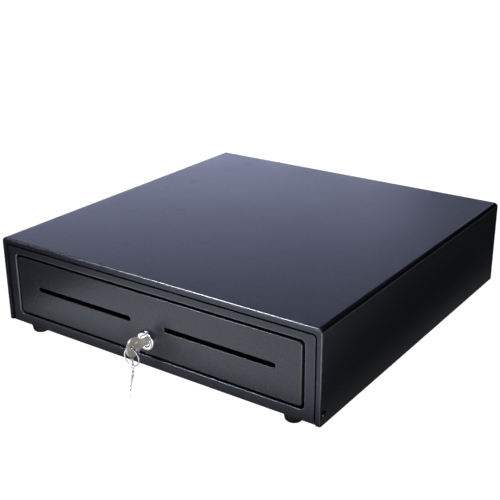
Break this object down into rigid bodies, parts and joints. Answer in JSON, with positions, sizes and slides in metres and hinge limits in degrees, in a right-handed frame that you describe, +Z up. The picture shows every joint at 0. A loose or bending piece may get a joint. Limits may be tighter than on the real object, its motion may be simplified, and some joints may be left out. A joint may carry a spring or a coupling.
{
  "type": "cash drawer",
  "caption": "Low sheet-steel cash drawer with a keyed lock and media slots in its sliding front, rubber feet, roller slides and a till with coin cups and note clips.",
  "frame": {"origin": "centre of the housing's footprint, on the underside of the base plate, in the middle of the four counter bolt holes; the counter top is 10 mm below it, at the undersides of the feet", "axes": "+Z up; the drawer front faces -Y and opens along -Y; +X is to the right for a person standing in front of the drawer"},
  "size_m": [0.4138, 0.4717, 0.109],
  "materials": {
    "powder_coat": "fine-textured black powder coat, satin",
    "foot_rubber": "moulded matt rubber",
    "zinc_sheet": "bright zinc-plated sheet, satin",
    "zinc_fastener": "bright zinc-plated, semi-gloss",
    "lock_chrome": "polished chrome",
    "key_nickel": "stamped nickel-plated, satin with polished edges",
    "roller_nylon": "natural nylon, satin",
    "till_plastic": "moulded black plastic, fine grain",
    "electric_plastic": "moulded black plastic",
    "spring_wire": "drawn spring wire, oiled",
    "coil_tape": "amber winding tape",
    "cable_jacket": "flexible black cable jacket"
  },
  "bodies": {
    "housing": {"cover": "powder_coat", "base_plate": "powder_coat", "front_frame": "powder_coat", "rear_panel": "powder_coat", "foot_front_left": "foot_rubber", "foot_front_right": "foot_rubber", "foot_rear_left": "foot_rubber", "foot_rear_right": "foot_rubber", "foot_screws": "zinc_fastener", "case_screws": "zinc_fastener", "slide_bracket_left": "zinc_sheet", "slide_bracket_right": "zinc_sheet", "outer_rail_left": "zinc_sheet", "outer_rail_right": "zinc_sheet", "front_roller_pins": "zinc_fastener", "rail_end_stop_left": "foot_rubber", "rail_end_stop_right": "foot_rubber", "latch_bracket": "zinc_sheet", "latch_screws": "zinc_fastener", "latch_pivot_pin": "zinc_fastener", "solenoid_frame": "zinc_sheet", "solenoid_bobbin": "roller_nylon", "solenoid_coil": "coil_tape", "plunger_spring": "spring_wire", "microswitch": "electric_plastic", "kick_spring": "spring_wire", "rj_jack": "electric_plastic", "cable_harness": "cable_jacket"},
    "roller_front_left": {"front_roller_left": "roller_nylon"},
    "roller_front_right": {"front_roller_right": "roller_nylon"},
    "roller_rear_left": {"rear_roller_left": "roller_nylon"},
    "roller_rear_right": {"rear_roller_right": "roller_nylon"},
    "drawer": {"drawer_front": "powder_coat", "drawer_pan": "powder_coat", "inner_rail_left": "zinc_sheet", "inner_rail_right": "zinc_sheet", "rear_roller_pins": "zinc_fastener", "front_nuts": "zinc_fastener", "striker": "zinc_sheet", "lock_barrel": "lock_chrome", "lock_nut": "zinc_fastener", "rod_bush": "roller_nylon"},
    "lock_core": {"lock_cylinder": "lock_chrome", "lock_rod": "zinc_sheet"},
    "main_key": {"key": "key_nickel"},
    "ring": {"key_ring": "lock_chrome"},
    "second_key": {"spare_key": "key_nickel"},
    "till": {"till_tray": "till_plastic", "clip_rod": "zinc_fastener"},
    "coins": {"coin_tray": "till_plastic"},
    "clip_1": {"bill_clip_1": "till_plastic"},
    "clip_2": {"bill_clip_2": "till_plastic"},
    "clip_3": {"bill_clip_3": "till_plastic"},
    "clip_4": {"bill_clip_4": "till_plastic"},
    "clip_5": {"bill_clip_5": "till_plastic"},
    "hook": {"latch_hook": "zinc_sheet"},
    "plunger": {"solenoid_plunger": "zinc_fastener", "plunger_pin": "zinc_fastener"},
    "lever": {"switch_lever": "zinc_fastener"},
    "kicker": {"ejector": "roller_nylon"}
  },
  "joints": [
    {"name": "drawer_slide", "type": "slide", "parent": "housing", "child": "drawer", "axis": [0, -1, 0], "range_m": [0, 0.31]},
    {"name": "front_roller_left_spin", "type": "hinge", "parent": "housing", "child": "roller_front_left", "pos_m": [-0.1809, -0.183, 0.0314], "axis": [1, 0, 0], "range_deg": [-10, 1745]},
    {"name": "rear_roller_left_spin", "type": "hinge", "parent": "drawer", "child": "roller_rear_left", "pos_m": [-0.1809, 0.15, 0.0304], "axis": [1, 0, 0], "range_deg": [-10, 1956]},
    {"name": "front_roller_right_spin", "type": "hinge", "parent": "housing", "child": "roller_front_right", "pos_m": [0.1809, -0.183, 0.0314], "axis": [1, 0, 0], "range_deg": [-10, 1745]},
    {"name": "rear_roller_right_spin", "type": "hinge", "parent": "drawer", "child": "roller_rear_right", "pos_m": [0.1809, 0.15, 0.0304], "axis": [1, 0, 0], "range_deg": [-10, 1956]},
    {"name": "kicker_slide", "type": "slide", "parent": "housing", "child": "kicker", "axis": [0, -1, 0], "range_m": [0, 0.0251], "deforming": ["kick_spring"]},
    {"name": "hook_pivot", "type": "hinge", "parent": "housing", "child": "hook", "pos_m": [0.01, 0.172, 0.049], "axis": [0, 0, 1], "range_deg": [-25, 0]},
    {"name": "plunger_slide", "type": "slide", "parent": "housing", "child": "plunger", "axis": [1, 0, 0], "range_m": [0, 0.0062], "deforming": ["plunger_spring"]},
    {"name": "switch_lever_pivot", "type": "hinge", "parent": "housing", "child": "lever", "pos_m": [0.0219, 0.183, 0.049], "axis": [0, 0, 1], "range_deg": [-5.2, 0]},
    {"name": "lock_turn", "type": "hinge", "parent": "drawer", "child": "lock_core", "pos_m": [0, -0.2, 0.03], "axis": [0, 1, 0], "range_deg": [-90, 90]},
    {"name": "key_pull", "type": "slide", "parent": "lock_core", "child": "main_key", "axis": [0, -1, 0], "range_m": [0, 0.03]},
    {"name": "ring_swing", "type": "hinge", "parent": "main_key", "child": "ring", "pos_m": [0, -0.2308, 0.0316], "axis": [1, 0, 0], "range_deg": [-60, 4]},
    {"name": "second_key_swing", "type": "hinge", "parent": "ring", "child": "second_key", "pos_m": [0.00029, -0.23121, 0.01122], "axis": [0.8192, 0.5736, 0], "range_deg": [-12, 2]},
    {"name": "till_lift", "type": "slide", "parent": "drawer", "child": "till", "axis": [0, 0, 1], "range_m": [0, 0.006]},
    {"name": "coin_lift", "type": "slide", "parent": "till", "child": "coins", "axis": [0, 0, 1], "range_m": [0, 0.005]},
    {"name": "bill_clip_1_lift", "type": "hinge", "parent": "till", "child": "clip_1", "pos_m": [-0.13632, 0.118, 0.07], "axis": [-1, 0, 0], "range_deg": [0, 31]},
    {"name": "bill_clip_2_lift", "type": "hinge", "parent": "till", "child": "clip_2", "pos_m": [-0.06816, 0.118, 0.07], "axis": [-1, 0, 0], "range_deg": [0, 31]},
    {"name": "bill_clip_3_lift", "type": "hinge", "parent": "till", "child": "clip_3", "pos_m": [0, 0.118, 0.07], "axis": [-1, 0, 0], "range_deg": [0, 31]},
    {"name": "bill_clip_4_lift", "type": "hinge", "parent": "till", "child": "clip_4", "pos_m": [0.06816, 0.118, 0.07], "axis": [-1, 0, 0], "range_deg": [0, 31]},
    {"name": "bill_clip_5_lift", "type": "hinge", "parent": "till", "child": "clip_5", "pos_m": [0.13632, 0.118, 0.07], "axis": [-1, 0, 0], "range_deg": [0, 31]}
  ],
  "couplings": [
    {"joint": "front_roller_left_spin", "follows": "drawer_slide", "rad_per_m": 98.039},
    {"joint": "front_roller_right_spin", "follows": "drawer_slide", "rad_per_m": 98.039},
    {"joint": "rear_roller_left_spin", "follows": "drawer_slide", "rad_per_m": 109.89},
    {"joint": "rear_roller_right_spin", "follows": "drawer_slide", "rad_per_m": 109.89},
    {"joint": "kicker_slide", "follows": "drawer_slide", "ratio": 0.0806},
    {"joint": "plunger_slide", "follows": "hook_pivot", "m_per_rad": -0.014024},
    {"joint": "switch_lever_pivot", "follows": "hook_pivot", "ratio": 0.2}
  ]
}
